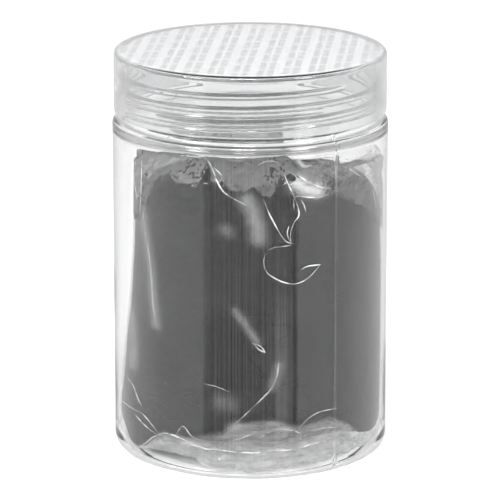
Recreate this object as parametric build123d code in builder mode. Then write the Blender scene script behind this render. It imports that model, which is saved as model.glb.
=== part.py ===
"""Powdered charcoal in a loose plastic bag, kept in a clear screw-top jar.

A blow-moulded jar stands on a narrow foot ring around a pushed-up base. Its neck carries a
single-start thread. A moulded lid with the matching thread presses a foam disc on the rim, and
the bag lies in the jar, filled with powder nearly to the shoulder. Millimetres, +Z up, with the
origin in the middle of the plane that the foot ring stands on. The jar's front is towards -Y.
"""
import os

from build123d import *

# Jar body
jar_diameter = 85.0
body_height = 104.5
body_wall = 0.7
base_wall = 0.9
heel_radius = 4.5
foot_width = 2.2
foot_edge_radius = 0.8
push_up_height = 6.7
push_up_run = 4.8
shoulder_radius = 1.2
shoulder_drop = 2.6

# Neck, from the top of the shoulder to the rim
neck_step = 3.2
neck_height = 19.6
neck_wall = 1.4
rim_edge_radius = 0.4
bead_step = 1.6
bead_edge_radius = 0.5

# Thread shared by the jar and the lid
thread_pitch = 4.0
thread_depth = 1.3
thread_root_width = 2.0
thread_crest_width = 0.8
thread_flank_gap = 0.14
thread_radial_gap = 0.3
thread_sink = 0.5
jar_thread_end_angle = -45.0
jar_thread_top_margin = 4.1
jar_thread_low_margin = 4.4
lid_thread_end_angle = -58.0
lid_thread_low_margin = 1.6

# Lid and the foam disc in it
lid_wall = 1.1
lid_panel = 0.9
lid_gap = 2.5
lid_edge_radius = 1.6
lid_rim_radius = 0.3
liner_thickness = 1.0
liner_side_gap = 0.4
bead_lid_gap = 0.4

# Bag and powder
bag_film = 0.3
bag_clearance = 0.3
powder_drop = 14.0
powder_top_inset = 2.9
powder_top_shift = 1.9
powder_heel_radius = 7.0
powder_top_radius = 3.0
air_gap = 2.5
mound_height = 8.0
mound_taper = 35.0
mound_neck_gap = 1.5
mound_edge_radius = 2.0

# Places that follow from the sizes above
jar_radius = jar_diameter / 2
inner_radius = jar_radius - body_wall
neck_radius = jar_radius - neck_step
bore_radius = neck_radius - neck_wall
bead_radius = jar_radius - bead_step
rim_z = body_height + neck_height
foot_outer = jar_radius - heel_radius
foot_inner = foot_outer - foot_width
push_up_radius = foot_inner - push_up_run
floor_z = push_up_height + base_wall
shoulder_z = body_height - shoulder_drop
lid_inner = neck_radius + thread_depth + thread_radial_gap
lid_radius = lid_inner + lid_wall
lid_bottom = body_height + lid_gap
bead_top = lid_bottom - bead_lid_gap
panel_bottom = rim_z + liner_thickness
lid_top = panel_bottom + lid_panel
liner_radius = lid_inner - liner_side_gap
bag_radius = inner_radius - bag_clearance
bag_floor = floor_z + bag_clearance
powder_radius = bag_radius - bag_film
powder_floor = bag_floor + bag_film
powder_level = body_height - powder_drop
bag_top = powder_level + air_gap + bag_film
mound_radius = bore_radius - mound_neck_gap

# The lid's flank bears on the underside of the jar's flank, so its thread hangs this far below.
thread_mid_width = (thread_root_width + thread_crest_width) / 2
flank_slope = (thread_root_width - thread_crest_width) / thread_depth
sunk_width = thread_root_width + flank_slope * thread_sink
thread_drop = thread_mid_width - flank_slope * thread_radial_gap / 2 + thread_flank_gap
jar_thread_top = rim_z - jar_thread_top_margin
jar_thread_turns = (jar_thread_top - bead_top - jar_thread_low_margin) / thread_pitch
angle_between_ends = (lid_thread_end_angle - jar_thread_end_angle) / 360.0
lid_thread_top = jar_thread_top + (angle_between_ends - 1) * thread_pitch - thread_drop
lid_thread_turns = (lid_thread_top - lid_bottom - lid_thread_low_margin) / thread_pitch


def corner_at(profile, across, up):
    """The corner of an upright profile that is nearest to (across, up)."""
    return profile.vertices().sort_by_distance((across, up))[0]


def thread_sweep(radius, outward, top_z, end_angle, turns, mode=Mode.ADD):
    """Sweep one thread rib. radius is the wall it stands on, outward is 1 or -1."""
    start = Plane.XY.offset(top_z - turns * thread_pitch).rotated((0, 0, end_angle - 360 * turns))
    with BuildLine(start) as path:
        Helix(pitch=thread_pitch, height=turns * thread_pitch, radius=radius)
    helix = path.line
    radial = (helix @ 0 - Vector(0, 0, (helix @ 0).Z)).normalized() * outward
    with BuildSketch(Plane(origin=helix @ 0, x_dir=radial, z_dir=helix % 0)) as rib:
        with BuildLine():
            Polyline(
                (-thread_sink, -sunk_width / 2),
                (thread_depth, -thread_crest_width / 2),
                (thread_depth, thread_crest_width / 2),
                (-thread_sink, sunk_width / 2),
                close=True,
            )
        make_face()
    sweep(sections=rib.sketch, path=helix, is_frenet=True, mode=mode)


# Jar: one lathe profile, outside up from the base and inside back down, then the neck thread.
with BuildPart() as jar:
    with BuildSketch(Plane.XZ) as jar_profile:
        with BuildLine():
            Polyline(
                (0, push_up_height),
                (push_up_radius, push_up_height),
                (foot_inner, 0),
                (foot_outer, 0),
            )
            RadiusArc((foot_outer, 0), (jar_radius, heel_radius), -heel_radius)
            Polyline(
                (jar_radius, heel_radius),
                (jar_radius, body_height),
                (bead_radius, body_height),
                (bead_radius, bead_top),
                (neck_radius, bead_top),
                (neck_radius, rim_z),
                (bore_radius, rim_z),
                (bore_radius, body_height),
                (inner_radius, shoulder_z),
                (inner_radius, heel_radius),
            )
            RadiusArc(
                (inner_radius, heel_radius),
                (foot_outer, base_wall),
                heel_radius - body_wall,
            )
            Polyline(
                (foot_outer, base_wall),
                (foot_inner + base_wall, base_wall),
                (push_up_radius + base_wall, floor_z),
                (0, floor_z),
                (0, push_up_height),
            )
        make_face()
        fillet(corner_at(jar_profile, jar_radius, body_height), shoulder_radius)
        fillet(corner_at(jar_profile, bead_radius, bead_top), bead_edge_radius)
        fillet(corner_at(jar_profile, neck_radius, rim_z), rim_edge_radius)
        fillet(corner_at(jar_profile, bore_radius, rim_z), rim_edge_radius)
        fillet(corner_at(jar_profile, foot_inner, 0), foot_edge_radius)
    revolve(axis=Axis.Z)
    thread_sweep(neck_radius, 1, jar_thread_top, jar_thread_end_angle, jar_thread_turns)

# Lid: a cup with a rounded top edge, and the thread on the inside of its skirt.
with BuildPart() as lid:
    with BuildSketch(Plane.XY.offset(lid_bottom)):
        Circle(lid_radius)
    extrude(amount=lid_top - lid_bottom)
    fillet(lid.edges().group_by(Axis.Z)[-1], lid_edge_radius)
    fillet(lid.edges().group_by(Axis.Z)[0], lid_rim_radius)
    with BuildSketch(Plane.XY.offset(lid_bottom)):
        Circle(lid_inner)
    extrude(amount=panel_bottom - lid_bottom, mode=Mode.SUBTRACT)
    thread_sweep(lid_inner, -1, lid_thread_top, lid_thread_end_angle, lid_thread_turns)

# Foam disc pressed between the lid's panel and the jar's rim.
with BuildPart() as seal_liner:
    with BuildSketch(Plane.XY.offset(rim_z)):
        Circle(liner_radius)
    extrude(amount=liner_thickness)

# Powder: wide at the floor, narrower and off to one side at its level, as the bag leans.
with BuildPart() as charcoal_powder:
    with BuildSketch(Plane.XY.offset(powder_floor)):
        Circle(powder_radius)
    with BuildSketch(Plane.XY.offset(powder_level)):
        with Locations((powder_top_shift, 0)):
            Circle(powder_radius - powder_top_inset)
    loft()
    fillet(charcoal_powder.edges().group_by(Axis.Z)[0], powder_heel_radius)
    fillet(charcoal_powder.edges().group_by(Axis.Z)[-1], powder_top_radius)

# Bag: a skin around the powder, a crumpled hem in the groove round the base, and the closed
# end of the bag folded down over the powder as a low mound.
lean_share = (bag_top - powder_floor) / (powder_level - powder_floor)
top_radius = powder_radius - powder_top_inset * lean_share + bag_film
with BuildPart() as inner_bag:
    with BuildSketch(Plane.XY.offset(bag_floor)):
        Circle(bag_radius)
    with BuildSketch(Plane.XY.offset(bag_top)):
        with Locations((powder_top_shift * lean_share, 0)):
            Circle(top_radius)
    loft()
    fillet(inner_bag.edges().group_by(Axis.Z)[-1], powder_top_radius)
    hem_inner = foot_inner + base_wall + bag_clearance
    hem_bottom = base_wall + bag_clearance
    with BuildSketch(Plane.XZ):
        with BuildLine():
            Polyline(
                (hem_inner, hem_bottom),
                (foot_outer - bag_clearance, hem_bottom),
                (bag_radius, heel_radius),
                (bag_radius, powder_floor),
                (push_up_radius + base_wall + bag_clearance, powder_floor),
                (push_up_radius + base_wall + bag_clearance, bag_floor),
                close=True,
            )
        make_face()
    revolve(axis=Axis.Z)
    with BuildSketch(Plane.XY.offset(powder_level)):
        Circle(mound_radius)
    extrude(amount=bag_top - powder_level + mound_height, taper=mound_taper)
    fillet(inner_bag.edges().group_by(Axis.Z)[-1], mound_edge_radius)
    with BuildPart(mode=Mode.PRIVATE) as hollow:
        with BuildSketch(Plane.XY.offset(powder_floor)):
            Circle(powder_radius)
        with BuildSketch(Plane.XY.offset(powder_level)):
            with Locations((powder_top_shift, 0)):
                Circle(powder_radius - powder_top_inset)
        loft()
    add(hollow.part, mode=Mode.SUBTRACT)

pieces = {
    "jar": jar,
    "lid": lid,
    "seal_liner": seal_liner,
    "inner_bag": inner_bag,
    "charcoal_powder": charcoal_powder,
}
os.makedirs("parts", exist_ok=True)
for label, piece in pieces.items():
    piece.part.label = label
    export_step(piece.part, f"parts/{label}.step")
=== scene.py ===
"""A clear screw-top jar with a loose bag of charcoal powder in it, under plain studio light.

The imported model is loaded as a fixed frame, and each piece here takes its place from it. Metres,
+Z up, the jar's front towards -Y. Profiles and marks are written in millimetres and scaled once.
"""
import math

import bpy
import numpy as np
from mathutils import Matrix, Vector, noise
from mathutils.bvhtree import BVHTree


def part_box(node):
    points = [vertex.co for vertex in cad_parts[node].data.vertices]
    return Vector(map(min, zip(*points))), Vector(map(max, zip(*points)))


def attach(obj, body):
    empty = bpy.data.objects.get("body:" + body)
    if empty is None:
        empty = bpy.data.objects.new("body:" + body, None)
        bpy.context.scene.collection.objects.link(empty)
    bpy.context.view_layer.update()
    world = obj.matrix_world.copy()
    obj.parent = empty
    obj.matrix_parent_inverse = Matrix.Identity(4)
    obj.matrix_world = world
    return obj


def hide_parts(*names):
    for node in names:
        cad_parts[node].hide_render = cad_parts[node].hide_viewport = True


bl_info = {
    "name": "Charcoal Powder Jar",
    "version": (1, 0, 0),
    "blender": (4, 5, 0),
    "location": "3D View > Sidebar > Charcoal Jar",
    "description": "Builds a clear screw-top jar that holds a loose bag of charcoal powder",
    "category": "Add Mesh",
}

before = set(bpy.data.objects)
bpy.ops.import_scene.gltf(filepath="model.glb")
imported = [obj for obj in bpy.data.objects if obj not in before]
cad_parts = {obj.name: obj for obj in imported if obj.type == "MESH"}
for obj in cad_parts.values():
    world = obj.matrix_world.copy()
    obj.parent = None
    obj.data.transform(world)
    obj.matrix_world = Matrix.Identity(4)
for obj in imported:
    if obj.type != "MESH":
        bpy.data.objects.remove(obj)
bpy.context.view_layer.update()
MM = 0.001


def corners(name):
    """Low and high corner of a node in the frame, in millimetres."""
    return [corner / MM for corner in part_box(name)]


# Places read from the frame
JAR_RADIUS = corners("jar")[1].x
LID_BOTTOM, LID_TOP = (corner.z for corner in corners("lid"))
LINER_BOTTOM, LINER_TOP = (corner.z for corner in corners("seal_liner"))


# ---------------------------------------------------------------- sizes and colours


def length_property(name, description, size, low, high):
    """A length, its default and limits given in millimetres."""
    return bpy.props.FloatProperty(
        name=name, description=description, default=size * MM, min=low * MM, max=high * MM,
        subtype="DISTANCE", unit="LENGTH")


def colour_property(name, description, shade):
    """A colour in linear red, green and blue."""
    return bpy.props.FloatVectorProperty(
        name=name, description=description, default=shade, min=0.0, max=1.0, subtype="COLOR")


def angle_property(name, description, degrees):
    """An angle, its default given in degrees."""
    return bpy.props.FloatProperty(
        name=name, description=description, default=math.radians(degrees), subtype="ANGLE",
        unit="ROTATION")


class JAR_PG_jar(bpy.types.PropertyGroup):
    """Sizes of the clear jar."""

    wall: length_property("Wall", "Thickness of the jar's side", 0.7, 0.4, 1.5)
    unevenness: length_property(
        "Unevenness", "How much the blown wall varies in thickness", 0.10, 0.0, 0.3)
    thread_pitch: length_property(
        "Thread pitch", "Rise of the thread in one turn", 4.0, 2.0, 6.0)
    columns: bpy.props.IntProperty(
        name="Columns", description="Faces round the jar and the lid", default=240,
        min=48, max=360)


class JAR_PG_lid(bpy.types.PropertyGroup):
    """Sizes and tint of the lid."""

    wall: length_property("Wall", "Thickness of the lid's skirt", 1.1, 0.6, 2.0)
    edge_radius: length_property(
        "Top edge radius", "Rounding of the lid's top edge", 1.6, 0.3, 4.0)
    tint: colour_property(
        "Tint", "Colour of the lid's slightly milky plastic", (0.93, 0.935, 0.94))


class JAR_PG_liner(bpy.types.PropertyGroup):
    """Print on the foam disc under the lid."""

    foam: colour_property("Foam", "Colour of the foam disc", (0.61, 0.61, 0.61))
    ink: colour_property("Ink", "Colour of the printed marks", (0.29, 0.29, 0.295))
    pair_pitch: length_property(
        "Pair pitch", "Distance from one pair of printed lines to the next", 7.4, 3.0, 20.0)
    turn: angle_property("Turn", "Angle of the print on the disc", -4.9)


class JAR_PG_contents(bpy.types.PropertyGroup):
    """The bag and the powder in it."""

    crumple: length_property("Crumple", "Depth of the film's crumples", 1.0, 0.0, 3.0)
    film_haze: bpy.props.FloatProperty(
        name="Dust", description="How much dust clings to the film", default=1.0,
        min=0.0, max=2.0, subtype="FACTOR")
    powder: colour_property("Powder", "Colour of the charcoal powder", (0.019, 0.019, 0.0195))


class JAR_PG_stage(bpy.types.PropertyGroup):
    """Camera, floor and lights."""

    camera_pitch: angle_property("Camera pitch", "How far the camera looks down", 15.0)
    camera_distance: bpy.props.FloatProperty(
        name="Camera distance", description="From the jar's axis to the camera",
        default=1.13, min=0.3, max=5.0, subtype="DISTANCE", unit="LENGTH")
    lens: bpy.props.FloatProperty(
        name="Lens", description="Focal length in millimetres on a 36 mm sensor",
        default=261.5, min=20.0, max=500.0)
    softbox: bpy.props.FloatProperty(
        name="Softbox", description="Power of each of the side softboxes, in watts",
        default=3.2, min=0.0, max=50.0)


GROUPS = {
    "charcoal_jar": JAR_PG_jar,
    "charcoal_lid": JAR_PG_lid,
    "charcoal_liner": JAR_PG_liner,
    "charcoal_contents": JAR_PG_contents,
    "charcoal_stage": JAR_PG_stage,
}


# ---------------------------------------------------------------- mesh helpers


def arc(centre, radius, start, end, steps):
    """Points on an arc in a lathe profile, angles in degrees."""
    angles = np.radians(np.linspace(start, end, steps))
    return [(centre[0] + radius * math.cos(a), centre[1] + radius * math.sin(a))
            for a in angles]


def run(start, end, step):
    """Points on a straight stretch of a lathe profile, without its two ends."""
    start, end = np.array(start, float), np.array(end, float)
    count = max(int(np.linalg.norm(end - start) / step), 1)
    return [tuple(start + (end - start) * i / count) for i in range(1, count)]


def add_object(name, points, faces, material, smooth=True):
    """A mesh object at the origin from points in millimetres."""
    mesh = bpy.data.meshes.new(name)
    mesh.from_pydata((np.asarray(points) * MM).tolist(), [], faces)
    mesh.update()
    mesh.shade_smooth() if smooth else mesh.shade_flat()
    mesh.materials.append(material)
    piece = bpy.data.objects.new(name, mesh)
    bpy.context.scene.collection.objects.link(piece)
    return piece


def grid_faces(rows, columns, flip=False):
    """Faces of a closed shell: a pole, rings of columns points, and a pole."""
    ring = np.arange(columns)
    after = (ring + 1) % columns
    faces = []
    for row in range(rows - 1):
        low, high = 1 + row * columns, 1 + (row + 1) * columns
        faces += np.stack([low + ring, low + after, high + after, high + ring], 1).tolist()
    last = 1 + (rows - 1) * columns
    pole = 1 + rows * columns
    faces += np.stack([after + 1, ring + 1, np.zeros(columns, int)], 1).tolist()
    faces += np.stack([last + ring, last + after, np.full(columns, pole)], 1).tolist()
    return [f[::-1] for f in faces] if flip else faces


def rise(value, start, span):
    """0 up to a start and 1 past a span from it, straight between. The span may be negative."""
    return np.clip((value - start) / span, 0.0, 1.0)


def eased(share):
    """A share from 0 to 1 with a soft start and end."""
    return share * share * (3 - 2 * share)


def thread_bump(angle, height, top, end_angle, turns, pitch, depth, root, crest):
    """Height of a single-start thread rib over its wall. Angles in degrees."""
    bump = np.zeros_like(height)
    for turn in range(int(turns) + 2):
        along = ((angle - end_angle) % 360.0) / 360.0 - 1.0 - turn
        centre = top + along * pitch
        away = np.abs(height - centre)
        rib = eased(np.clip((root / 2 - away) / ((root - crest) / 2), 0.0, 1.0))
        start_fade = np.clip(-along * 360.0 / THREAD_FADE, 0.0, 1.0)
        end_fade = np.clip((turns + along) * 360.0 / THREAD_FADE, 0.0, 1.0)
        bump = np.maximum(bump, depth * rib * np.sqrt(start_fade * end_fade))
    return bump


def lathe(name, profile, columns, material, shape=None, flip=False, seams=()):
    """A closed turned shell, with closer columns at the seams' angles.

    shape(angle, radius, height, row) may move its radius."""
    angles = np.linspace(0.0, 360.0, columns, endpoint=False)
    close = [seam + step for seam in seams for step in (-0.45, -0.2, 0.0, 0.2, 0.45)]
    clear_of_seams = [all(abs(a - c) > 0.3 for c in close) for a in angles]
    angles = np.unique(np.concatenate([angles[clear_of_seams], close]))
    columns = len(angles)
    body = profile[1:-1]
    points = [(0.0, 0.0, profile[0][1])]
    for row, (radius, height) in enumerate(body):
        radii = np.full(columns, radius)
        heights = np.full(columns, height)
        if shape is not None:
            radii = shape(angles, radii, heights, row)
        turn = np.radians(angles)
        points += np.stack([radii * np.cos(turn), radii * np.sin(turn), heights], 1).tolist()
    points.append((0.0, 0.0, profile[-1][1]))
    return add_object(name, points, grid_faces(len(body), columns, flip), material)


def paint(piece, **layers):
    """Stores a number at each point of a piece, for its material to read."""
    for name, values in layers.items():
        layer = piece.data.attributes.new(name, "FLOAT", "POINT")
        layer.data.foreach_set("value", np.asarray(values, np.float32))


def waves(points, scale, seed, octaves=1):
    """Smooth noise from -1 to 1 at each point."""
    offset = Vector((seed * 7.31, seed * 3.17, seed * 5.77))
    values = np.zeros(len(points))
    for octave in range(octaves):
        step = scale / 2 ** octave
        values += np.array([noise.noise(Vector(p) / step + offset) for p in points]) / 2 ** octave
    return values


# ---------------------------------------------------------------- node helpers


class Number:
    """A node's number, so that sums of nodes are written as ordinary sums."""

    def __init__(self, socket):
        self.socket = socket

    def __add__(self, other):
        return maths("ADD", self, other)

    def __sub__(self, other):
        return maths("SUBTRACT", self, other)

    def __rsub__(self, other):
        return maths("SUBTRACT", other, self)

    def __mul__(self, other):
        return maths("MULTIPLY", self, other)

    def __truediv__(self, other):
        return maths("DIVIDE", self, other)

    def __abs__(self):
        return maths("ABSOLUTE", self)

    def clamped(self):
        """Keeps the last sum between 0 and 1."""
        self.socket.node.use_clamp = True
        return self


def node(tree, kind, inputs=None, **settings):
    """Adds a node, sets its properties, and links or sets its inputs."""
    made = tree.nodes.new(kind)
    for key, value in settings.items():
        setattr(made, key, value)
    for key, value in (inputs or {}).items():
        if isinstance(value, Number):
            value = value.socket
        if isinstance(value, bpy.types.NodeSocket):
            tree.links.new(value, made.inputs[key])
        else:
            made.inputs[key].default_value = value
    return made


def number(tree, kind, inputs=None, output=0, **settings):
    """Adds a node and gives one of its outputs as a Number."""
    return Number(node(tree, kind, inputs, **settings).outputs[output])


def maths(operation, *values):
    """One math node's number. At least one of the values is a Number."""
    tree = next(value.socket.id_data for value in values if isinstance(value, Number))
    return number(tree, "ShaderNodeMath", dict(enumerate(values)), operation=operation)


def ramp(value, low, high):
    """A Number moved from low..high to 0..1 with a soft start and end."""
    return number(value.socket.id_data, "ShaderNodeMapRange", {0: value, 1: low, 2: high},
                  interpolation_type="SMOOTHSTEP")


def fade(start, end, share):
    """From a Number, at a share of 0, to another value at 1."""
    return share * (end - start) + start


def cloud(tree, place, scale, detail=2.0, roughness=0.5):
    """A noise texture's number."""
    return number(tree, "ShaderNodeTexNoise", {
        "Vector": place, "Scale": scale, "Detail": detail, "Roughness": roughness})


def stretched(tree, place, scale):
    """Places scaled apart from each other along the axes."""
    return node(tree, "ShaderNodeMapping", {"Vector": place, "Scale": scale}).outputs[0]


def vector(tree, x=0.0, y=0.0, z=0.0):
    """A vector from its three parts."""
    return node(tree, "ShaderNodeCombineXYZ", {0: x, 1: y, 2: z}).outputs[0]


def shifted(tree, operation, first, second):
    """One vector sum's output."""
    return node(tree, "ShaderNodeVectorMath", {0: first, 1: second}, operation=operation).outputs[0]


def painted(tree, name):
    """A value that the mesh carries at each of its points."""
    return number(tree, "ShaderNodeAttribute", output="Fac", attribute_name=name)


def levelness(tree):
    """0 where a face stands upright, 1 where it lies flat."""
    normal = node(tree, "ShaderNodeNewGeometry").outputs["Normal"]
    return abs(number(tree, "ShaderNodeSeparateXYZ", {0: normal}, output=2))


def reflected(tree):
    """1 for what is seen in a reflection, 0 for what is seen directly."""
    return maths("GREATER_THAN", number(tree, "ShaderNodeLightPath", output="Glossy Depth"), 0.5)


def bump(tree, height, strength, depth):
    """A bumped normal, its depth in metres."""
    return node(tree, "ShaderNodeBump",
                {"Height": height, "Strength": strength, "Distance": depth}).outputs[0]


def grey(tone):
    """A neutral colour."""
    return tone, tone, tone, 1.0


def tinted(colour, factor):
    """A lighter or darker shade of a colour."""
    return (*[min(part * factor, 1.0) for part in colour], 1.0)


def blend(tree, share, first, second):
    """A mix of two colours."""
    return node(tree, "ShaderNodeMixRGB", {0: share, 1: first, 2: second}).outputs[0]


def bsdf(tree, kind, inputs):
    """A surface shader's output."""
    return node(tree, "ShaderNodeBsdf" + kind, inputs).outputs[0]


def mix(tree, share, first, second):
    """A mix of two shaders."""
    return node(tree, "ShaderNodeMixShader", {0: share, 1: first, 2: second}).outputs[0]


def thin_sheet(tree, share, near, far):
    """Light scattered back in one colour, mixed with light scattered through in another."""
    return mix(tree, share, bsdf(tree, "Diffuse", {"Color": near}),
               bsdf(tree, "Translucent", {"Color": far}))


def new_material(name):
    """A material with an empty node tree, and the places on the object that it reads."""
    material = bpy.data.materials.new(name)
    material.use_nodes = True
    tree = material.node_tree
    tree.nodes.clear()
    return material, tree, node(tree, "ShaderNodeTexCoord").outputs["Object"]


def finished(material, surface):
    """Gives a material its surface, and returns it."""
    node(material.node_tree, "ShaderNodeOutputMaterial", {"Surface": surface})
    return material


# ---------------------------------------------------------------- materials


def clear_plastic(name, colour, roughness, ior, wave_scale, wave_strength, milk=0.0):
    """Clear moulded plastic that lets light through to what is inside it.

    milk is the share of light that the plastic scatters instead."""
    material, tree, place = new_material(name)
    flow = cloud(tree, stretched(tree, place, (1.0, 1.0, 0.35)), wave_scale)
    solid = bsdf(tree, "Principled", {
        "Base Color": (*colour, 1.0), "Roughness": roughness, "IOR": ior,
        "Transmission Weight": 1.0, "Normal": bump(tree, flow, wave_strength, MM)})
    passing = bsdf(tree, "Transparent", {"Color": (*colour, 1.0)})
    shadow = node(tree, "ShaderNodeLightPath").outputs["Is Shadow Ray"]
    surface = mix(tree, shadow, solid, passing)
    if milk:
        edge_on = number(tree, "ShaderNodeLayerWeight", {"Blend": 0.5}, output="Facing")
        tone = edge_on * 0.52 + 0.44
        share = ramp(levelness(tree), 0.9, 0.5) * (edge_on * (1.05 * milk) + 0.60 * milk)
        surface = mix(tree, share, surface, thin_sheet(tree, 0.5, tone, tone))
    return finished(material, surface)


def foam_material(colour):
    """Closed-cell foam with a fine mottle, and painted shade on its upright edge."""
    material, tree, place = new_material("white foam")
    cells = node(tree, "ShaderNodeTexVoronoi", {"Vector": place, "Scale": 1600.0}).outputs[0]
    mottle = cloud(tree, place, 90.0, 3.0)
    tone = blend(tree, mottle, tinted(colour, 0.955), tinted(colour, 1.03))
    # Painted shade: the upright edge darkens towards grey in patches of the mottle.
    painted_edge_shade = ramp(levelness(tree), 0.8, 0.3) * ramp(mottle, 0.2, 0.5)
    return finished(material, bsdf(tree, "Principled", {
        "Base Color": blend(tree, painted_edge_shade, tone, grey(0.10)), "Roughness": 0.62,
        "Normal": bump(tree, cells, 0.25, 0.1 * MM)}))


def ink_material(colour):
    """Thin printed ink with uneven cover."""
    material, tree, place = new_material("printed ink")
    tone = blend(tree, cloud(tree, place, 900.0), tinted(colour, 0.92), tinted(colour, 1.12))
    return finished(material, bsdf(tree, "Principled", {"Base Color": tone, "Roughness": 0.7}))


def film_material(dust):
    """Thin clear film: two faces' worth of gloss, with clinging dust, black specks and painted
    highlight patches.
    """
    material, tree, place = new_material("clear bag film")
    dent = bump(tree, cloud(tree, place, 420.0, 3.0), 0.10, 0.4 * MM)
    from_inside = number(tree, "ShaderNodeNewGeometry", output="Backfacing")
    single = number(tree, "ShaderNodeFresnel",
                    {"IOR": 1.5 - from_inside * 0.8333, "Normal": dent})
    double = (single * 1.15 / (single + 1.0)).clamped()
    surface = mix(tree, double, bsdf(tree, "Transparent", {"Color": grey(0.97)}),
                  bsdf(tree, "Glossy", {"Color": grey(1.0), "Roughness": 0.09, "Normal": dent}))

    haze = painted(tree, "haze")
    ragged = cloud(tree, place, 260.0, 6.0, 0.65)
    cover = (ramp(haze + (ragged - 0.5) * 1.1, 0.12, 1.0) * (0.86 * dust)).clamped()
    surface = mix(tree, cover, surface, thin_sheet(tree, 0.45, grey(0.20), grey(0.24)))

    crowd = ramp(cloud(tree, place, 110.0), 0.42, 0.66) * ramp(haze, 0.1, 0.5)
    over = cloud(tree, place, 900.0) - (0.72 - crowd * 0.19)
    smear = ramp(ragged, 0.56, 0.68) * (crowd * 0.62)
    specks = maths("MAXIMUM", smear, ramp(over, 0.0, 0.03) * 0.9)
    surface = mix(tree, specks, surface, bsdf(tree, "Diffuse", {"Color": grey(0.03)}))

    # Painted highlights: pale white patches where the sheen attribute is set.
    painted_sheen = (painted(tree, "sheen") * (ragged * 1.2 + 0.4)).clamped()
    surface = mix(tree, painted_sheen, surface, bsdf(tree, "Diffuse", {"Color": grey(0.85)}))

    ripples = cloud(tree, stretched(tree, place, (0.3, 0.3, 1.6)), 420.0, 4.0)
    hem = (painted(tree, "flap") * (ripples + 0.05)).clamped()
    milky = thin_sheet(tree, 0.5, grey(0.62), grey(0.62))
    return finished(material, mix(tree, hem, surface, milky))


def crease_highlight_material():
    """Painted highlight on the crest of a pinched fold, brighter and duller by turns along its run.
    """
    material, tree, place = new_material("painted fold highlight")
    along_fold = cloud(tree, place, 330.0, 3.0)
    share = (painted(tree, "fold") * (ramp(along_fold, 0.38, 0.62) + 0.22)).clamped()
    clear = bsdf(tree, "Transparent", {"Color": grey(0.98)})
    # Painted highlight: this near-white stands in for the light that the fold's crest catches.
    white = bsdf(tree, "Principled", {"Base Color": grey(0.86), "Roughness": 0.25})
    return finished(material, mix(tree, share, clear, white))


def powder_material(colour):
    """Packed charcoal powder: dull, finely grained, cracked here and there, with painted shade
    darkening the cracks.
    """
    material, tree, place = new_material("charcoal powder")
    mottle = cloud(tree, place, 70.0, 6.0, 0.6)
    grain = cloud(tree, place, 2200.0)
    bent = node(tree, "ShaderNodeTexNoise", {"Vector": place, "Scale": 120.0, "Detail": 4.0})
    shift = shifted(tree, "SUBTRACT", bent.outputs["Color"], (0.5, 0.5, 0.5))
    shift = node(tree, "ShaderNodeVectorMath", {0: shift, "Scale": 0.012},
                 operation="SCALE").outputs[0]
    flat = stretched(tree, shifted(tree, "ADD", place, shift), (1.0, 1.0, 2.2))
    cracks = number(tree, "ShaderNodeTexVoronoi", {"Vector": flat, "Scale": 75.0},
                    output="Distance", feature="DISTANCE_TO_EDGE")
    # Painted shade: the cracks darken the colour almost to black.
    crack = (1.0 - ramp(cracks, 0.0, 0.035)) * ramp(cloud(tree, place, 38.0, 1.0), 0.52, 0.62)
    tone = blend(tree, ramp(mottle * 0.9 + grain * 0.35, 0.35, 0.95),
                 tinted(colour, 0.45), tinted(colour, 1.55))
    return finished(material, bsdf(tree, "Principled", {
        "Base Color": blend(tree, crack * 0.85, tone, grey(0.004)), "Roughness": 0.92,
        "Specular IOR Level": 0.25, "Normal": bump(tree, grain * 0.3 - crack, 0.7, 0.3 * MM)}))


# ---------------------------------------------------------------- jar and lid

# The neck, the lid's bore and their threads, in millimetres and degrees. A thread starts and
# ends over THREAD_FADE degrees.
NECK_RADIUS, BORE_RADIUS, LID_BORE = 39.3, 37.9, 40.9
THREAD = {"depth": 1.3, "root": 2.0, "crest": 0.8}
JAR_THREAD = {"top": 120.0, "end_angle": -45.0, "turns": 2.25}
LID_THREAD = {"top": 114.46, "end_angle": -58.0, "turns": 1.46}
THREAD_FADE = 14.0

# Underside and top of the jar's pushed-up base, centre and radius of its heel, start of the
# rounded shoulder, and the straight stretch of the neck
BASE_UNDER, BASE_TOP = 6.7, 7.6
HEEL_CENTRE, HEEL = 38.0, 4.5
SHOULDER = 103.3
NECK_LOW, NECK_HIGH = 106.75, 123.7

# The mould's parting lines: their angles, and the height and width of their ridge
PARTING_LINES = (127.6, 307.6)
RIDGE_HEIGHT, RIDGE_WIDTH = 0.21, 0.30

# The stretch of the side over which the blown wall varies, and how soon it settles at the ends
UNEVEN_LOW, UNEVEN_HIGH, UNEVEN_FADE = 8.0, 100.0, 12.0


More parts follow.
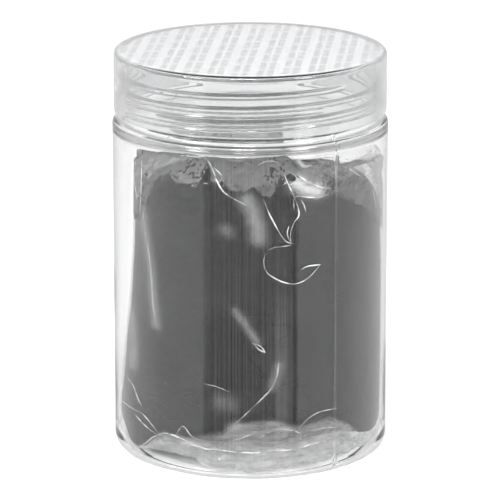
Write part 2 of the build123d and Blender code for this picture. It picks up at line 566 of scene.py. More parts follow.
class JAR_OT_jar(bpy.types.Operator):
    """Turn the clear jar with its push-up base, bead and threaded neck"""

    bl_idname = "charcoal.jar"
    bl_label = "Clear Jar"

    def execute(self, context):
        sizes = context.scene.charcoal_jar
        wall = sizes.wall / MM
        inner = JAR_RADIUS - wall
        outside = [(0.0, BASE_UNDER)] + run((0.0, BASE_UNDER), (28.6, BASE_UNDER), 3.0)
        outside += arc((29.2, 5.1), 1.6, 90, 34, 7)
        outside += run(outside[-1], (35.0, 0.55), 1.2)
        outside += arc((36.4, 0.8), 0.8, 205, 270, 6) + run((36.4, 0.0), (HEEL_CENTRE, 0.0), 0.8)
        outside += arc((HEEL_CENTRE, HEEL), HEEL, -90, 0, 14)
        outside += run((JAR_RADIUS, HEEL), (JAR_RADIUS, SHOULDER), 1.6)
        outside += arc((41.3, SHOULDER), 1.2, 0, 90, 8) + run((41.3, 104.5), (40.9, 104.5), 0.4)
        outside += [(40.9, 104.62)]
        outside += arc((40.4, 106.1), 0.5, 0, 90, 6) + [(39.6, 106.6)]
        neck_start = len(outside)
        outside += [(NECK_RADIUS, NECK_LOW)]
        outside += run((NECK_RADIUS, NECK_LOW), (NECK_RADIUS, NECK_HIGH), 0.2)
        neck_end = len(outside)
        outside += arc((NECK_RADIUS - 0.4, NECK_HIGH), 0.4, 0, 90, 6)
        inside = arc((BORE_RADIUS + 0.4, NECK_HIGH), 0.4, 90, 180, 6)
        inside += run((BORE_RADIUS, NECK_HIGH), (BORE_RADIUS, 105.2), 0.9) + [(BORE_RADIUS, 105.0)]
        inside += run((38.1, 104.5), (inner - 0.3, 102.0), 0.5) + [(inner, 101.5)]
        inside += run((inner, 101.5), (inner, HEEL), 1.3) + arc((HEEL_CENTRE, HEEL), 3.6, 0, -90, 12)
        inside += [(37.0, 0.92)] + run((36.6, 1.15), (32.3, 7.15), 1.0)
        inside += [(31.8, 7.5), (31.0, BASE_TOP)] + run((31.0, BASE_TOP), (0.0, BASE_TOP), 3.0)
        inside += [(0.0, BASE_TOP)]
        profile = outside + inside
        pitch = sizes.thread_pitch / MM
        uneven = sizes.unevenness / MM

        def shape(angle, radius, height, row):
            place = row + 1
            if neck_start <= place < neck_end:
                return radius + thread_bump(angle, height, pitch=pitch, **JAR_THREAD, **THREAD)
            if HEEL_CENTRE < radius[0] and UNEVEN_LOW < height[0] < UNEVEN_HIGH:
                side = 1.0 if place < len(outside) else -1.6
                turn = np.radians(angle)
                swell = 0.5 * np.sin(3 * turn + height / 23.0) + 0.3 * np.sin(
                    7 * turn - height / 17.0 + 1.3) + 0.2 * np.sin(height / 6.0 + 2 * turn)
                share = min((height[0] - UNEVEN_LOW) / UNEVEN_FADE,
                            (UNEVEN_HIGH - height[0]) / UNEVEN_FADE, 1.0)
                radius = radius - 0.05 + side * uneven * 0.4 * share * swell
            if place < neck_start and height[0] > 2.0:
                for seam in PARTING_LINES:
                    radius = radius + RIDGE_HEIGHT * np.exp(-(((angle - seam) / RIDGE_WIDTH) ** 2))
            return radius

        plastic = clear_plastic("clear jar plastic", (0.992, 0.995, 0.995), 0.012, 1.57, 55.0, 0.05)
        jar = lathe("clear_jar", profile, sizes.columns, plastic, shape, seams=PARTING_LINES)
        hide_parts("jar")
        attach(jar, "jar")
        return {"FINISHED"}


class JAR_OT_lid(bpy.types.Operator):
    """Turn the screw lid with the thread inside its skirt"""

    bl_idname = "charcoal.lid"
    bl_label = "Screw Lid"

    def execute(self, context):
        sizes = context.scene.charcoal_lid
        outer = LID_BORE + sizes.wall / MM
        edge = sizes.edge_radius / MM
        top = [(0.0, LID_TOP)] + run((0.0, LID_TOP), (outer - edge, LID_TOP), 3.0)
        top += arc((outer - edge, LID_TOP - edge), edge, 90, 0, 12)
        top += run((outer, LID_TOP - edge), (outer, LID_BOTTOM + 0.4), 1.5)
        top += arc((outer - 0.4, LID_BOTTOM + 0.4), 0.4, 0, -90, 5)
        rim = arc((LID_BORE + 0.25, LID_BOTTOM + 0.25), 0.25, -90, -180, 4)
        thread_start = len(top) + len(rim)
        low, high = (LID_BORE, LID_BOTTOM + 0.25), (LID_BORE, LINER_TOP - 0.3)
        under = run(low, high, 0.2)
        thread_end = thread_start + len(under)
        under += arc((LID_BORE - 0.3, LINER_TOP - 0.3), 0.3, 0, 90, 4)
        under += run((LID_BORE - 0.3, LINER_TOP), (0.0, LINER_TOP), 3.0) + [(0.0, LINER_TOP)]
        pitch = context.scene.charcoal_jar.thread_pitch / MM

        def shape(angle, radius, height, row):
            if thread_start <= row + 1 < thread_end:
                return radius - thread_bump(angle, height, pitch=pitch, **LID_THREAD, **THREAD)
            return radius

        plastic = clear_plastic("milky lid plastic", tuple(sizes.tint), 0.02, 1.50, 40.0, 0.04,
                                milk=0.24)
        lid = lathe("screw_lid", top + rim + under, context.scene.charcoal_jar.columns,
                    plastic, shape, flip=True)
        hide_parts("lid")
        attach(lid, "lid")
        return {"FINISHED"}


# ---------------------------------------------------------------- foam disc and its print


def print_tree(material):
    """Geometry nodes: printed blocks in pairs of lines, in staggered groups on a disc."""
    tree = bpy.data.node_groups.new("liner print", "GeometryNodeTree")
    tree.is_modifier = True
    sizes = [("Radius", 0.0402), ("Height", 0.12507), ("Pair Pitch", 0.0074),
             ("Group Pitch", 0.0113), ("Group Length", 0.0081), ("Line Gap", 0.0029),
             ("Line Width", 0.0022), ("Turn", -0.096)]
    for name, value in sizes:
        socket = tree.interface.new_socket(name, in_out="INPUT", socket_type="NodeSocketFloat")
        socket.default_value = value
    tree.interface.new_socket("Geometry", in_out="OUTPUT", socket_type="NodeSocketGeometry")
    given = {socket.name: Number(socket) for socket in node(tree, "NodeGroupInput").outputs}

    def grid(width, length, columns, rows):
        return node(tree, "GeometryNodeMeshGrid", {
            "Size X": width, "Size Y": length, "Vertices X": columns,
            "Vertices Y": rows}).outputs["Mesh"]

    blocks, pairs, groups = 7, 12, 9
    length = given["Group Length"]
    block = grid(given["Line Width"], length / float(blocks) * 0.72, 2, 2)
    group = grid(given["Line Gap"], length, 2, blocks)
    uneven = node(tree, "FunctionNodeRandomValue", data_type="FLOAT_VECTOR")
    uneven.inputs["Min"].default_value = (0.72, 0.62, 1.0)
    uneven.inputs["Max"].default_value = (1.0, 1.15, 1.0)
    uneven.inputs["Seed"].default_value = 4
    letters = node(tree, "GeometryNodeInstanceOnPoints", {
        "Points": group, "Instance": block, "Scale": uneven.outputs[0]})
    field = grid(given["Pair Pitch"] * float(pairs), given["Group Pitch"] * float(groups),
                 pairs + 1, groups + 1)
    place = node(tree, "GeometryNodeInputPosition").outputs[0]
    across = number(tree, "ShaderNodeSeparateXYZ", {0: place})
    column = maths("ROUND", across / given["Pair Pitch"])
    stagger = maths("FRACT", column * 0.38) * given["Group Pitch"]
    moved = node(tree, "GeometryNodeSetPosition", {
        "Geometry": field, "Offset": vector(tree, y=stagger)})
    spread = node(tree, "GeometryNodeInstanceOnPoints", {
        "Points": moved.outputs[0], "Instance": letters.outputs[0]})
    real = node(tree, "GeometryNodeRealizeInstances", {0: spread.outputs[0]})
    turned = node(tree, "GeometryNodeTransform", {
        "Geometry": real.outputs[0], "Translation": vector(tree, z=given["Height"]),
        "Rotation": vector(tree, z=given["Turn"])})
    spot = node(tree, "GeometryNodeInputPosition").outputs[0]
    level = shifted(tree, "MULTIPLY", spot, (1.0, 1.0, 0.0))
    far = node(tree, "ShaderNodeVectorMath", {0: level}, operation="LENGTH").outputs["Value"]
    off = node(tree, "FunctionNodeCompare", {0: far, 1: given["Radius"]},
               data_type="FLOAT", operation="GREATER_THAN")
    kept = node(tree, "GeometryNodeDeleteGeometry", {
        "Geometry": turned.outputs[0], "Selection": off.outputs[0]}, domain="FACE")
    inked = node(tree, "GeometryNodeSetMaterial", {
        "Geometry": kept.outputs[0], "Material": material})
    node(tree, "NodeGroupOutput", {"Geometry": inked.outputs[0]})
    return tree


def plain_mesh(name, tree, settings, material):
    """Runs a node tree with its inputs set, and keeps the result as a plain mesh."""
    maker = bpy.data.objects.new(name, bpy.data.meshes.new(name))
    bpy.context.scene.collection.objects.link(maker)
    modifier = maker.modifiers.new("make", "NODES")
    modifier.node_group = tree
    for item in tree.interface.items_tree:
        if item.item_type == "SOCKET" and item.in_out == "INPUT" and item.name in settings:
            modifier[item.identifier] = settings[item.name]
    depsgraph = bpy.context.evaluated_depsgraph_get()
    mesh = bpy.data.meshes.new_from_object(
        maker.evaluated_get(depsgraph), preserve_all_data_layers=True, depsgraph=depsgraph)
    maker.modifiers.remove(modifier)
    maker.data = mesh
    mesh.name = name
    if not mesh.materials:
        mesh.materials.append(material)
    return maker


class JAR_OT_liner(bpy.types.Operator):
    """Make the foam sealing disc and the print on it"""

    bl_idname = "charcoal.liner"
    bl_label = "Foam Disc and Print"

    def execute(self, context):
        look = context.scene.charcoal_liner
        radius, edge = 40.5, 0.2
        top = LINER_TOP - 0.05
        flat = radius - edge
        profile = [(0.0, LINER_BOTTOM)] + run((0.0, LINER_BOTTOM), (flat, LINER_BOTTOM), 3.0)
        profile += arc((flat, LINER_BOTTOM + edge), edge, -90, 0, 4)
        profile += arc((flat, top - edge), edge, 0, 90, 4)
        profile += run((flat, top), (0.0, top), 3.0) + [(0.0, top)]
        disc = lathe("foam_disc", profile, 160, foam_material(tuple(look.foam)))
        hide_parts("seal_liner")
        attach(disc, "seal")
        ink = ink_material(tuple(look.ink))
        marks = plain_mesh("liner_print", print_tree(ink), {
            "Pair Pitch": look.pair_pitch, "Turn": look.turn,
            "Height": (top + 0.02) * MM}, ink)
        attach(marks, "seal")
        return {"FINISHED"}


# ---------------------------------------------------------------- bag and powder

# Radius of the bag's side, how far inside it the powder lies, the farthest from the axis that
# the film and the crests of its creases may reach, and where the front begins along Y
BAG_RADIUS, POWDER_INSET = 41.35, 0.62
FILM_REACH, CREASE_REACH = 41.45, 41.7
FRONT_BEGINS = -4.0

# Height of the bag's underside over the pushed-up base, where that underside ends, the radius
# at which the lower edge starts to bend up, and the height of that bend
BAG_FLOOR, FLOOR_RADIUS, BEND_RADIUS, BEND_HEIGHT = 8.2, 31.2, 38.6, 3.2

# Edges of the film and the powder along the front as (place across, height), and how far the
# bag stands off the jar at its left as (height, gap), all in millimetres.
FILM_TOP = [(-41, 95), (-37, 97), (-34, 98.5), (-33, 101.5), (-26, 103), (-15, 102), (3, 102.5),
            (11.5, 103.5), (13, 101.5), (16, 97), (25, 97.5), (35, 95.5), (41, 91)]
POWDER_TOP = [(-41, 74), (-34, 76), (-31, 86), (-29.5, 91), (-24, 95), (-22, 92.5), (-19, 91.5),
              (-16, 92.5), (-14, 96), (-13, 97.5), (-11, 95), (-5.5, 92.5), (-2, 93),
              (0.5, 92.5), (3.5, 90), (5.5, 89.5), (9, 94.5), (12, 96.5), (15, 94.5),
              (21, 89.5), (27, 87), (33, 84), (37, 79), (41, 70.5)]
FILM_LOW = [(-41, 5), (-37, 1.5), (-32, 5), (-20, 5), (-5, 2), (1.5, 1.5), (7.5, 2), (14, 3),
            (21, 3.5), (41, 3)]
POWDER_LOW = [(-41, 8.5), (-37, 2.5), (-34, 5), (-27, 12), (-20, 11.5), (-13, 13.5),
              (-8.5, 14.5), (-4.5, 18), (1.5, 18.5), (6.5, 19), (12, 17), (16, 16),
              (24, 17.5), (29, 14.5), (33, 10), (41, 5)]
LEFT_GAP = [(0, 0.4), (15, 0.4), (17, 1), (31, 2.5), (49, 4), (65, 5), (89, 5), (97, 7),
            (110, 9)]

# Folds in the film at the front: (depth, width, painted highlight strength on the crest, [(across,
# height), ...]).
FOLDS = [
    # down from the upper left edge, and the small loop on it
    (1.0, 0.8, 0.95, [(-14.5, 102), (-11.5, 97), (-8.5, 91.5), (-6, 89.5), (-1.5, 87)]),
    (0.6, 0.5, 0.8, [(-11.5, 97), (-10, 96.5), (-8.5, 95), (-9.5, 93.5), (-11, 95)]),
    # the V below the middle of the upper edge
    (0.9, 0.7, 0.85, [(4, 88.5), (5.5, 84.5), (8.5, 78.5), (10.5, 75.5), (12.5, 74.5)]),
    (0.9, 0.6, 0.8, [(9.5, 96.5), (13, 89), (14.5, 83.5), (13, 81), (12, 78), (12, 75)]),
    (0.5, 0.5, 0.5, [(11.5, 80), (11, 78), (11.5, 76), (12.5, 75)]),
    # the folds to its right
    (0.7, 0.7, 1.0, [(10, 96.5), (13.5, 95), (18, 92.5), (21, 91), (24, 90)]),
    (0.6, 0.6, 0.6, [(24, 90), (23, 88.5), (20.5, 88), (16.5, 88.5), (14.5, 89), (13, 88.5),
                     (13, 85)]),
    (0.5, 0.5, 0.4, [(15, 88), (16, 86), (16.5, 84)]),
    # the hook below the V
    (0.7, 0.6, 0.75, [(4.5, 72), (4, 69), (5, 66), (7.5, 64), (10.5, 62.5), (14, 62),
                      (17.5, 63.5), (21, 67)]),
    (0.5, 0.5, 0.3, [(4.5, 72), (6.5, 73.5), (12, 74)]),
    (0.7, 0.6, 0.95, [(15, 66), (17, 67), (21, 67)]),
    # the long folds at the left
    (0.8, 1.2, 0.55, [(-33, 99.5), (-33, 87), (-33.5, 79)]),
    (0.7, 1.9, 0.22, [(-32.5, 80), (-30, 63), (-29.5, 53.5), (-28.5, 46)]),
    # the short ones in the middle
    (0.7, 0.6, 1.0, [(0.5, 44), (3, 43), (4.5, 41)]),
    (0.4, 0.5, 0.8, [(1, 44), (2.5, 42), (4.5, 41)]),
    # the long one that runs down to the hem
    (0.7, 0.8, 0.42, [(8.5, 37.5), (8, 33.5), (6.5, 30), (3.5, 26.5), (-4.5, 18.5)]),
    (0.4, 0.6, 0.3, [(-14, 30.5), (-10.5, 30), (-6, 28.5)]),
    # the lower left corner
    (0.6, 1.0, 0.35, [(-39, 24.5), (-36, 24), (-34, 20), (-33, 19)]),
    (0.7, 0.7, 0.5, [(-41, 13), (-39.5, 16), (-35.5, 16.5), (-32, 16), (-27, 11)]),
    (0.6, 0.5, 0.75, [(-35, 15), (-32, 13), (-28.5, 11.5)]),
    (0.5, 0.6, 0.6, [(-37, 2.5), (-34, 5), (-27, 12), (-20, 11.5), (-14, 9.5), (-9, 10)]),
    (0.6, 0.7, 0.35, [(-23, 11.5), (-20.5, 16), (-17.5, 13), (-14, 12.5)]),
    # the hem: its arc at the right, the arms of its flap and the fold over the base
    (0.5, 0.9, 0.4, [(15, 16.5), (17.5, 19), (21, 20.5), (26, 20.5)]),
    (0.5, 0.6, 0.7, [(-32, 5), (-26, 5.5), (-20, 5), (-12, 4), (1.5, 1.5)]),
    (0.5, 0.6, 0.5, [(1.5, 1.5), (7.5, 2), (14, 3), (20.5, 3.5)]),
    (0.3, 0.8, 0.55, [(-23, 11), (-16, 10), (-10, 9.5), (1, 9), (7, 9.5), (13, 9.5),
                      (20, 10.5), (26.5, 11.5)]),
    (0.3, 0.5, 0.20, [(2.5, 14), (8, 16.5), (13, 15.5), (18, 13)]),
    (0.3, 0.5, 0.20, [(14, 12.5), (21, 15), (27, 14)]),
    (0.3, 0.5, 0.20, [(-8, 12), (-1, 14.5), (4, 17)]),
    # small ones near the upper edge
    (0.4, 0.6, 0.45, [(-36.5, 96.5), (-35, 93), (-35.5, 88), (-34.5, 82)]),
    (0.4, 0.5, 0.40, [(-27.5, 100.5), (-24, 99), (-20.5, 99.5), (-17, 98)]),
    (0.4, 0.5, 0.35, [(-4, 100), (1, 98), (6, 99.5), (10, 97)]),
    (0.4, 0.5, 0.40, [(26, 96), (31, 93.5), (36, 88), (38, 80)]),
]

# Painted highlights: soft pale patches where the film stands off the powder: (strength, width,
# [(across, height)]).
SHEENS = [
    (0.17, 2.4, [(-1, 88), (0.5, 85.5), (2, 80.5), (2.5, 76.5)]),
    (0.12, 1.2, [(-4.5, 54), (-2, 50.5), (0.5, 46.5), (2, 44.5)]),
    (0.10, 1.5, [(8.5, 36.5), (7.5, 33), (6.5, 30)]),
    (0.08, 2.0, [(-7.5, 79), (-6.5, 78.5)]),
    (0.06, 2.6, [(-9, 25), (-6, 24.5)]),
    (0.10, 1.2, [(-6.5, 17.5), (-4, 18.5)]),
    (0.45, 2.0, [(14, 92.5), (17, 91), (20, 90)]),
    (0.12, 1.5, [(-32.5, 80), (-31.5, 72), (-30, 63), (-29.5, 54), (-28.5, 46)]),
    (0.10, 1.6, [(-36.5, 45), (-35.5, 36), (-36, 30)]),
]


def along(table, value):
    """Straight-line reading of a table of (place, reading)."""
    table = np.array(table, float)
    return np.interp(value, table[:, 0], table[:, 1])


def near_path(across, height, path):
    """Distance of each point to a path of points, and its place along it from 0 to 1."""
    near = np.full_like(across, 1e9)
    place = np.zeros_like(across)
    lengths = np.cumsum([0.0] + [math.dist(a, b) for a, b in zip(path, path[1:])])
    for index, (a, b) in enumerate(zip(path, path[1:])):
        dx, dy = b[0] - a[0], b[1] - a[1]
        share = np.clip(((across - a[0]) * dx + (height - a[1]) * dy) / (dx * dx + dy * dy), 0, 1)
        away = np.hypot(across - a[0] - share * dx, height - a[1] - share * dy)
        closer = away < near
        near = np.where(closer, away, near)
        here = (lengths[index] + share * (lengths[index + 1] - lengths[index])) / lengths[-1]
        place = np.where(closer, here, place)
    return near, place


def fold_height(across, height):
    """Height of the sharp-crested folds at points on the front."""
    total = np.zeros_like(across)
    for depth, width, _, path in FOLDS:
        near, place = near_path(across, height, path)
        taper = np.clip(np.minimum(place, 1 - place) * 6.0 + 0.25, 0.0, 1.0)
        total += depth * taper * (np.exp(-near / width) - 0.4 * np.exp(-(near / (3 * width)) ** 2))
    return total


def smooth_path(path, step):
    """Points every so often along a rounded curve through the given ones."""
    path = np.array(path, float)
    ends = np.vstack([2 * path[0] - path[1], path, 2 * path[-1] - path[-2]])
    points = []
    for before, start, end, after in zip(ends, ends[1:], ends[2:], ends[3:]):
        count = max(2, int(np.hypot(*(end - start)) / step))
        for share in np.arange(count) / count:
            points.append(0.5 * (2 * start + (end - before) * share
                                 + (2 * before - 5 * start + 4 * end - after) * share ** 2
                                 + (3 * start - before - 3 * end + after) * share ** 3))
    return np.array(points + [path[-1]])


def close_rib(points, faces, strengths, start):
    """Joins the four-point sections after a given point into one closed rib."""
    rings = (len(points) - start) // 4
    if rings < 2:
        del points[start:], strengths[start:]
        return
    for ring in range(rings - 1):
        a = start + ring * 4
        faces += [(a + k, a + (k + 1) % 4, a + 4 + (k + 1) % 4, a + 4 + k) for k in range(4)]
    last = start + (rings - 1) * 4
    faces += [(start + 3, start + 2, start + 1, start), (last, last + 1, last + 2, last + 3)]


def crease_tubes(film):
    """Thin closed ribs along the folds, standing on the front of the film, that carry the folds'
    painted highlights.

    A rib ends where the film has no front. Returns the points, the faces and the strength of
    each point."""
    surface = BVHTree.FromPolygons([v.co / MM for v in film.data.vertices],
                                   [tuple(p.vertices) for p in film.data.polygons])
    points, faces, strengths = [], [], []
    for number, (_, width, strength, path) in enumerate(FOLDS):
        line = smooth_path(path, 0.5)
        toward = np.gradient(line, axis=0)
        toward /= np.maximum(np.hypot(*toward.T), 1e-9)[:, None]
        place = np.linspace(0.0, 1.0, len(line))
        swell = np.sin(np.pi * np.clip(place, 0.02, 0.98)) ** 0.5
        wander = 1.0 + 0.45 * np.sin(place * len(line) * 0.33 + number * 1.7)
        half = (0.10 + 0.10 * width) * swell * wander
        start = len(points)
        for (x, z), (tx, tz), reach in zip(line, toward, half):
            hit = surface.ray_cast(Vector((x, -60.0, z)), Vector((0, 1, 0)))[0]
            if hit is None or hit.y > FRONT_BEGINS:
                close_rib(points, faces, strengths, start)
                start = len(points)
                continue
            out = Vector((hit.x, hit.y, 0)).normalized()
            round_way = Vector((-out.y, out.x, 0))
            side = round_way * -tz + Vector((0, 0, tx))
            base = hit + out * 0.02
            room = max(CREASE_REACH - math.hypot(base.x, base.y), 0.03)
            reach_out = min(0.06 + reach * 0.5, room)
            points += [tuple(base - side * reach), tuple(base - out * 0.05),
                       tuple(base + side * reach), tuple(base + out * reach_out)]
            strengths += [strength] * 4
        close_rib(points, faces, strengths, start)
    return points, faces, strengths


def soft_shine(across, height):
    """Painted highlights: the soft pale patches on the front."""
    shine = np.zeros_like(across)
    for strength, width, path in SHEENS:
        near, _ = near_path(across, height, path)
        shine = np.maximum(shine, strength * np.exp(-(near / width) ** 2))
    return shine


def round_angles(front, back):
    """Angles round the jar in degrees, closer together along the front half."""
    return np.concatenate([np.linspace(180, 360, front, endpoint=False),
                           np.linspace(0, 180, back, endpoint=False)])


def front_share(angle):
    """1 at the front, 0 at the back."""
    return 0.5 - 0.5 * np.sin(np.radians(angle))


def shell_points(angle, rows):
    """Pole, rings and pole from a list of (radius, height) arrays with their angles."""
    turn = np.radians(angle)
    points = [(0.0, 0.0, float(np.mean(rows[0][1])))]
    for radius, height in rows:
        points += np.stack([radius * np.cos(turn), radius * np.sin(turn), height], 1).tolist()
    points.append((0.0, 0.0, float(np.mean(rows[-1][1]))))
    return np.array(points)


def low_edge(angle, powder):
    """Height of the bag's or the powder's lower edge in the groove round the base."""
    turn = np.radians(angle)
    wobble = 1.2 * np.sin(np.radians(angle * 5 + 20)) + 0.8 * np.sin(turn * 11)
    across = 41.0 * np.cos(turn)
    front = np.clip(-np.sin(turn) * 3.0, 0.0, 1.0)
    fore = along(POWDER_LOW if powder else FILM_LOW, across)
    aft = (11.0 if powder else 5.5) + wobble
    edge = fore * front + aft * (1 - front)
    return np.maximum(edge, 2.6) if powder else np.clip(edge, 1.3, 9.5)


def bag_rings(front, back, side_rows, top_rows, inset, powder):
    """Rings of the bag or, a little inside it, of the powder."""
    angle = round_angles(front, back)
    turn = np.radians(angle)
    left = np.exp(-((angle - 180.0) / 46.0) ** 2)
    wall = BAG_RADIUS - inset
    front_top = along(POWDER_TOP if powder else FILM_TOP, 39.0 * np.cos(turn))
    back_top = 84.0 if powder else 96.0 + 1.5 * np.sin(np.radians(angle * 6 + 40))
    fore = eased(np.clip(front_share(angle) * 1.6 - 0.25, 0.0, 1.0))
    top = front_top * fore + back_top * (1 - fore)
    low = low_edge(angle, powder)
    rows = []
    under = BAG_FLOOR + inset * 0.8
    for radius in np.linspace(2.5, 30.5, 8 if powder else 12):
        rows.append((np.full_like(turn, radius), np.full_like(turn, under)))
    out = BEND_RADIUS - inset * 0.6
    low = low + inset * 0.3
    for share in np.linspace(0.12, 1.0, 10):
        radius = FLOOR_RADIUS + (out - FLOOR_RADIUS) * share
        drop = share ** 1.25
        height = under * (1 - drop) + low * drop
        floor = np.where(radius < 36.9, BASE_TOP - (radius - 31.9) * 1.396, 0.9)
        rows.append((np.full_like(turn, radius), np.maximum(height, floor + 0.55 + inset * 0.3)))
    for share in np.linspace(0.2, 1.0, 6):
        bend = np.radians(90 * share)
        radius = out + (wall - out) * np.sin(bend)
        height = low + BEND_HEIGHT * (1 - np.cos(bend))
        rows.append((np.full_like(turn, radius), height))
    start = low + BEND_HEIGHT
    curve = 4.0 if powder else 1.2
    for share in np.linspace(0.0, 1.0, side_rows)[1:]:
        height = start + (top - curve - start) * share
        gap = along(LEFT_GAP, height) * left
        lean = rise(height, 93.0, 5.0) * (0.4 if powder else 3.9)
        rows.append((wall - np.maximum(gap - 0.3, 0.0) - lean, height))
    side_radius, side_top = rows[-1]
    for share in np.linspace(0.0, 1.0, 7)[1:]:
        bend = np.radians(90 * share)
        rows.append((side_radius - curve * (1 - np.cos(bend)), side_top + curve * np.sin(bend)))
    rim_radius, rim_top = rows[-1]
    centre = 88.5 if powder else 94.5
    for share in np.linspace(0.0, 1.0, top_rows + 1)[1:-1]:
        radius = rim_radius * (1 - share)
        across = radius * np.cos(turn)
        depth = radius * np.sin(turn)
        plane = centre - depth * 0.11 - rise(across, 13.0, 4.0) * 4.0
        pull = eased(np.clip(share * 4.0, 0.0, 1.0))
        rows.append((radius, rim_top * (1 - pull) + plane * pull))
    return angle, rows


def shell_normals(points, rows, columns):
    """Outward normals of a shell's rings, from the neighbours of each point."""
    grid = points[1:-1].reshape(rows, columns, 3)
    round_way = np.roll(grid, -1, axis=1) - np.roll(grid, 1, axis=1)
    up_way = np.gradient(grid, axis=0)
    normal = np.cross(round_way, up_way)
    length = np.linalg.norm(normal, axis=2, keepdims=True)
    return (normal / np.maximum(length, 1e-9)).reshape(-1, 3)


def bag_shell(*sizes):
    """Points, faces and outward normals of the bag or of the powder, from bag_rings' sizes."""
    angle, rows = bag_rings(*sizes)
    points = shell_points(angle, rows)
    shape = len(rows), len(angle)
    return points, grid_faces(*shape), shell_normals(points, *shape)


class JAR_OT_contents(bpy.types.Operator):
    """Make the crumpled bag and the charcoal powder in it"""

    bl_idname = "charcoal.contents"
    bl_label = "Bag and Powder"

    def execute(self, context):
        look = context.scene.charcoal_contents
        self.make_powder(look)
        self.make_bag(look)
        return {"FINISHED"}

    def make_powder(self, look):
        points, faces, normals = bag_shell(200, 60, 120, 26, POWDER_INSET, True)
        body = points[1:-1]
        lumps = waves(body, 9.0, 3, 3) * 0.35 + waves(body, 2.2, 5, 2) * 0.18
        top = rise(body[:, 2], 78.0, 8.0)
        sides = rise(np.hypot(body[:, 0], body[:, 1]), 30.0, 4.0)
        lumps = lumps * (0.5 + 2.2 * top) - 0.25
        lumps = np.where(sides > 0, np.minimum(lumps, 0.12 + 2.0 * (1 - sides)), lumps)
        points[1:-1] = body + normals * lumps[:, None]
        powder = add_object("powder_fill", points, faces, powder_material(tuple(look.powder)))
        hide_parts("charcoal_powder")
        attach(powder, "contents")

    def make_bag(self, look):
        points, faces, normals = bag_shell(300, 54, 190, 32, 0.0, False)
        body = points[1:-1]
        across, depth, height = body.T
        front = np.clip(-depth / 12.0, 0.0, 1.0)
        folds = 0.55 * fold_height(across, height) * front
        soft = waves(body * (1, 1, 0.5), 13.0, 1, 2)
        crease = 1.0 - np.abs(waves(body, 11.0, 2, 2)) * 2.2
        fine = 1.0 - np.abs(waves(body * (1, 1, 1.3), 4.5, 4, 2)) * 2.4
        radius = np.hypot(across, depth)
        on_top = rise(radius, 36.0, -3.0) * rise(height, 60.0, 5.0)
        band = np.maximum(rise(height, 84.0, 10.0), rise(height, 17.0, -8.0))
        packed = (rise(height, along(POWDER_TOP, across), -3.0)
                  * rise(height, along(POWDER_LOW, across), 3.0) * front)
        busy = np.maximum(band, on_top) * (1.0 - 0.9 * packed)
        inward = 0.035 * soft + busy * (0.8 * crease + 0.45 * fine)
        inward = np.clip(inward + 0.15, -0.2, None)
        move = folds - inward * look.crumple / MM - 0.05
        points[1:-1] = body + normals * move[:, None]
        out = np.hypot(points[:, 0], points[:, 1])
        limit = FILM_REACH - rise(points[:, 2], 94.5, 3.0) * 4.1
        shrink = np.minimum(1.0, limit / np.maximum(out, 1e-6))
        points[:, :2] *= shrink[:, None]
        film = add_object("bag_film", points, faces, film_material(look.film_haze))
        # Painted highlights: pale patches on the front of the film.
        sheen = soft_shine(points[:, 0], points[:, 2]) * (points[:, 1] < FRONT_BEGINS)
        paint(film, haze=self.haze(points), sheen=sheen, flap=self.flap(points))
        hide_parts("inner_bag")
        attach(film, "contents")
        # Ribs along the fold crests, with painted highlights on them.
        points, faces, strengths = crease_tubes(film)
        folds = add_object("bag_crease_highlights", points, faces, crease_highlight_material())
        paint(folds, fold=strengths)
        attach(folds, "contents")

    def flap(self, points):
        """How milky the empty hem of the bag is below the powder, at the front."""
        across, depth, height = points.T
        under = rise(height, along(POWDER_LOW, across) + 1.2, -1.6)
        fore = rise(depth, -8.0, -10.0) * rise(across, -35.0, 4.0)
        groove = rise(np.hypot(across, depth), 29.0, 2.0)
        rag = 0.75 + 0.4 * waves(points * (0.3, 1, 1), 2.6, 12, 3)
        return under * fore * groove * np.clip(rag, 0.3, 1.0)

    def haze(self, points):
        """How dusty the film is at each point, from 0 to 1."""
        across, depth, height = points.T
        edge = along(POWDER_TOP, across)
        rag = waves(points, 5.0, 9, 3) * 2.6
        above = np.clip((height - edge + 1.5 + rag) / 1.6, 0.0, 1.0)
        right = rise(across, 15.0, 3.0)
        middle = np.exp(-(((across + 3.0) / 11.0) ** 2))
        strength = 0.88 - 0.22 * right + 0.25 * middle
        below = rise(height, 14.0, -7.0) * 0.20
        back = rise(depth, -5.0, 10.0)
        front = np.maximum(above * strength, below)
        return np.clip(front * (1 - back) + back * 0.55 * (height > 86) * (across < 11), 0.0, 1.0)


# ---------------------------------------------------------------- stage


# Softboxes: name, angle from the front, angle up, share of the set power, width in metres
SOFTBOXES = (("left softbox", -52.0, 34.0, 1.0, 0.24), ("right softbox", 50.0, 32.0, 1.0, 0.24),
             ("top softbox", -8.0, 62.0, 0.8, 0.22))
LIGHT_AIM, LIGHT_DISTANCE = 0.06, 0.9

# What the camera looks at on the jar's axis, in metres, and its lens shift
CAMERA_AIM = 0.0618
SHIFT_X, SHIFT_Y = -0.0006, 0.001


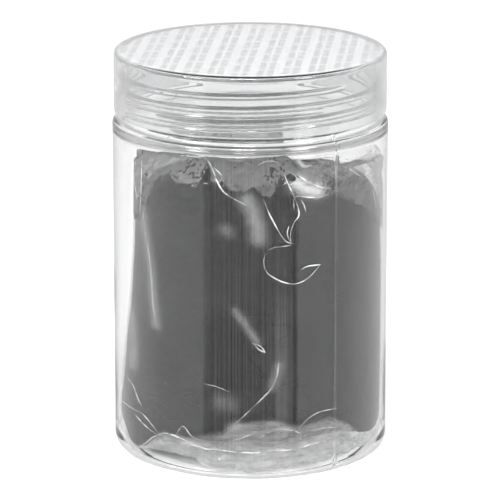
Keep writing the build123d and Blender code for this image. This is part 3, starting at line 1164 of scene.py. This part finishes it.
class JAR_OT_stage(bpy.types.Operator):
    """Set up the floor, the soft lights and the camera"""

    bl_idname = "charcoal.stage"
    bl_label = "Studio"

    def execute(self, context):
        look = context.scene.charcoal_stage
        self.make_floor()
        self.make_world(context.scene)
        for name, azimuth, height, share, size in SOFTBOXES:
            self.make_softbox(name, azimuth, height, look.softbox * share, size)
        self.make_camera(context.scene, look)
        context.scene.view_settings.view_transform = "Standard"
        light_paths = context.scene.cycles
        light_paths.max_bounces = 32
        light_paths.transmission_bounces = 28
        light_paths.glossy_bounces = 8
        light_paths.transparent_max_bounces = 40
        light_paths.caustics_reflective = True
        light_paths.caustics_refractive = True
        return {"FINISHED"}

    def make_floor(self):
        material, tree, place = new_material("pale floor")
        sheet = bsdf(tree, "Diffuse", {
            "Color": blend(tree, cloud(tree, place, 3.0), grey(0.93), grey(0.95))})
        finished(material, mix(tree, reflected(tree), sheet, bsdf(tree, "Transparent", {})))
        half, level = 4000.0, -0.05
        corners = [(-half, -half, level), (half, -half, level), (half, half, level),
                   (-half, half, level)]
        floor = add_object("floor", corners, [(0, 1, 2, 3)], material, smooth=False)
        floor.visible_glossy = False

    def make_world(self, scene):
        """White all round. Reflections see it dimmer, with dark streaks in front, low down."""
        world = bpy.data.worlds.new("white studio")
        world.use_nodes = True
        tree = world.node_tree
        tree.nodes.clear()
        toward = node(tree, "ShaderNodeTexCoord").outputs["Generated"]
        split = node(tree, "ShaderNodeSeparateXYZ", {0: toward}).outputs
        x, y, z = (Number(socket) for socket in split)
        level = maths("MAXIMUM", maths("SQRT", x * x + y * y), 1e-4)
        lean = x / level
        streaks = (cloud(tree, vector(tree, lean), 46.0, 4.0) * 2.2 - 0.76).clamped()
        card = ramp(lean, 0.34, 0.36) * ramp(lean, 0.60, 0.46) * ramp(z, -0.262, -0.285)
        gap = ramp(lean, 0.585, 0.60) * ramp(lean, 0.635, 0.62)
        band = (streaks + card * 0.42) * (1.0 - gap * 0.6)
        low = fade(band, 0.70, ramp(abs(x) / level, 0.625, 0.655))
        low = fade(low, 0.85, ramp(z, -0.36, -0.48))
        fore = fade(low, 0.62, ramp(z, -0.02, 0.25))
        seen = fade(fore, 0.74, ramp(y, -0.15, 0.15))
        mirror = reflected(tree)
        strength = seen * mirror + (1.0 - mirror)
        light = node(tree, "ShaderNodeBackground", {"Color": grey(1.0), "Strength": strength})
        node(tree, "ShaderNodeOutputWorld", {"Surface": light.outputs[0]})
        scene.world = world

    def make_softbox(self, name, azimuth, height, watts, size):
        data = bpy.data.lights.new(name, "AREA")
        data.shape = "RECTANGLE"
        data.size, data.size_y = size, size * 1.3
        data.energy = watts
        box = bpy.data.objects.new(name, data)
        turn, rise = math.radians(azimuth), math.radians(height)
        toward = Vector((math.sin(turn) * math.cos(rise), -math.cos(turn) * math.cos(rise),
                         math.sin(rise)))
        box.location = Vector((0, 0, LIGHT_AIM)) + toward * LIGHT_DISTANCE
        box.rotation_euler = toward.to_track_quat("Z", "Y").to_euler()
        bpy.context.scene.collection.objects.link(box)

    def make_camera(self, scene, look):
        data = bpy.data.cameras.new("camera")
        data.lens = look.lens
        data.sensor_width = 36.0
        data.clip_start, data.clip_end = 0.05, 20.0
        camera = bpy.data.objects.new("camera", data)
        aim = Vector((0.0, 0.0, CAMERA_AIM))
        pitch = look.camera_pitch
        back = Vector((0.0, -math.cos(pitch), math.sin(pitch)))
        camera.location = aim + back * look.camera_distance
        camera.rotation_euler = back.to_track_quat("Z", "Y").to_euler()
        data.shift_x, data.shift_y = SHIFT_X, SHIFT_Y
        scene.collection.objects.link(camera)
        scene.camera = camera


class JAR_PT_panel(bpy.types.Panel):
    """Charcoal jar pieces and their settings"""

    bl_idname = "JAR_PT_panel"
    bl_label = "Charcoal Powder Jar"
    bl_space_type = "VIEW_3D"
    bl_region_type = "UI"
    bl_category = "Charcoal Jar"

    def draw(self, context):
        for name in GROUPS:
            box = self.layout.box()
            settings = getattr(context.scene, name)
            for key in settings.bl_rna.properties.keys():
                if key not in {"rna_type", "name"}:
                    box.prop(settings, key)
            box.operator(name.replace("_", "."))


CLASSES = (*GROUPS.values(), JAR_OT_jar, JAR_OT_lid, JAR_OT_liner, JAR_OT_contents,
           JAR_OT_stage, JAR_PT_panel)


def register():
    for made in CLASSES:
        bpy.utils.register_class(made)
    for name, group in GROUPS.items():
        setattr(bpy.types.Scene, name, bpy.props.PointerProperty(type=group))


def unregister():
    for name in GROUPS:
        delattr(bpy.types.Scene, name)
    for made in reversed(CLASSES):
        bpy.utils.unregister_class(made)


def main():
    register()
    bpy.ops.charcoal.stage()
    bpy.ops.charcoal.jar()
    bpy.ops.charcoal.contents()
    bpy.ops.charcoal.liner()
    bpy.ops.charcoal.lid()


if __name__ == "__main__":
    main()
